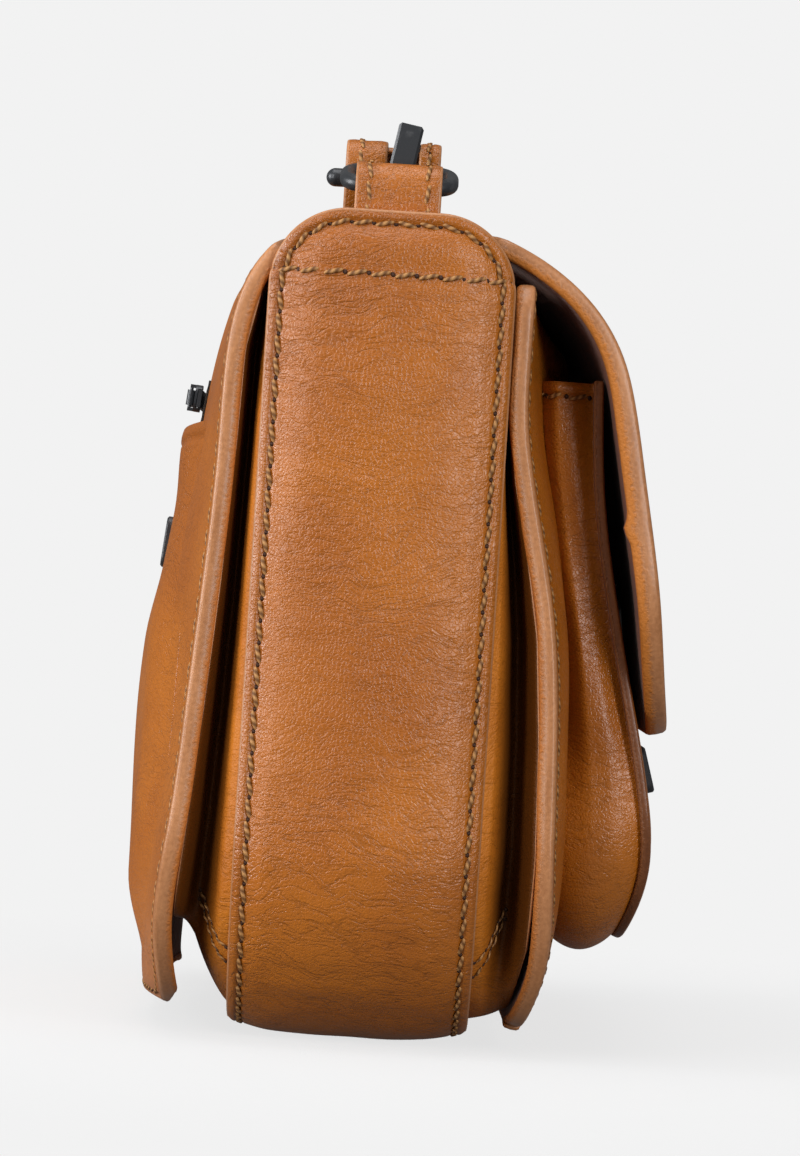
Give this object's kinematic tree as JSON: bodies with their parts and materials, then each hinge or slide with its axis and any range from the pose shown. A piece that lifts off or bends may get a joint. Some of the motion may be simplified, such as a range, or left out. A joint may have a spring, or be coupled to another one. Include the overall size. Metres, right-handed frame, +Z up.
{
  "type": "saddle handbag",
  "caption": "Small structured saddle handbag with a fold-over flap, accordion side gussets, front and rear pockets and a strap clipped to rings at its ends.",
  "frame": {"origin": "middle of the flat underside of the strip that the bag stands on", "axes": "+X along the bag, -Y out of the flap's front, +Z up"},
  "size_m": [0.21, 0.11, 0.1878],
  "materials": {
    "tan_leather": "smooth, fine pebble grain, waxed",
    "suede_lining": "napped suede lining",
    "black_metal": "matte black",
    "plain_steel": "plain",
    "woven_tape": "woven",
    "stiff_board": "plain"
  },
  "bodies": {
    "bag": {"back_panel": "tan_leather", "back_plate": "black_metal", "back_pocket_panel": "tan_leather", "base_board": "stiff_board", "front_divider": "suede_lining", "front_fold_gusset": "tan_leather", "front_panel": "tan_leather", "gusset_strip": "tan_leather", "plate_rivets": "plain_steel", "pocket_gusset": "tan_leather", "pocket_magnet": "plain_steel", "pocket_magnet_cup": "plain_steel", "pocket_panel": "tan_leather", "pocket_plate": "black_metal", "rear_divider": "suede_lining", "rear_fold_gusset": "tan_leather", "ring_tab_left": "tan_leather", "ring_tab_right": "tan_leather", "strap": "tan_leather", "tab_backing_left": "tan_leather", "tab_backing_right": "tan_leather", "zip_tape": "woven_tape", "zip_teeth": "black_metal"},
    "flap_body": {"flap": "tan_leather", "flap_lining": "suede_lining", "flap_magnet_cup": "plain_steel", "flap_magnet": "plain_steel"},
    "ring_left_body": {"ring_left": "black_metal"},
    "ring_right_body": {"ring_right": "black_metal"},
    "hook_left_body": {"hook_left": "black_metal", "gate_pin_left": "black_metal"},
    "hook_right_body": {"hook_right": "black_metal", "gate_pin_right": "black_metal"},
    "gate_left_body": {"gate_left": "black_metal"},
    "gate_right_body": {"gate_right": "black_metal"},
    "slider_body": {"zip_slider": "black_metal"},
    "puller_body": {"zip_puller": "black_metal"}
  },
  "joints": [
    {"name": "flap_hinge", "type": "hinge", "parent": "bag", "child": "flap_body", "pos_m": [0, 0.021, 0.164], "axis": [-1, 0, 0], "range_deg": [0, 150]},
    {"name": "zip_slide", "type": "slide", "parent": "bag", "child": "slider_body", "axis": [1, 0, 0], "range_m": [0, 0.104]},
    {"name": "puller_swing", "type": "hinge", "parent": "slider_body", "child": "puller_body", "pos_m": [-0.05, 0.04107, 0.13086], "axis": [0, -0.1002, 0.995], "range_deg": [0, 150]},
    {"name": "ring_left_swing", "type": "hinge", "parent": "bag", "child": "ring_left_body", "pos_m": [-0.0981, 0, 0.1744], "axis": [0, -1, 0], "range_deg": [0, 6]},
    {"name": "hook_left_rock", "type": "hinge", "parent": "bag", "child": "hook_left_body", "pos_m": [-0.0796, 0, 0.17681], "axis": [0, 1, 0], "range_deg": [0, 6]},
    {"name": "gate_left_open", "type": "hinge", "parent": "hook_left_body", "child": "gate_left_body", "pos_m": [-0.08181, -0.00128, 0.1841], "axis": [0, -0.9848, -0.1736], "range_deg": [0, 16], "stiffness_Nm_per_rad": 0.02, "springref_deg": -5.73},
    {"name": "ring_right_swing", "type": "hinge", "parent": "bag", "child": "ring_right_body", "pos_m": [0.0981, 0, 0.1744], "axis": [0, 1, 0], "range_deg": [0, 6]},
    {"name": "hook_right_rock", "type": "hinge", "parent": "bag", "child": "hook_right_body", "pos_m": [0.0796, 0, 0.17681], "axis": [0, -1, 0], "range_deg": [0, 6]},
    {"name": "gate_right_open", "type": "hinge", "parent": "hook_right_body", "child": "gate_right_body", "pos_m": [0.08181, -0.00128, 0.1841], "axis": [0, 0.9848, 0.1736], "range_deg": [0, 16], "stiffness_Nm_per_rad": 0.02, "springref_deg": -5.73}
  ]
}
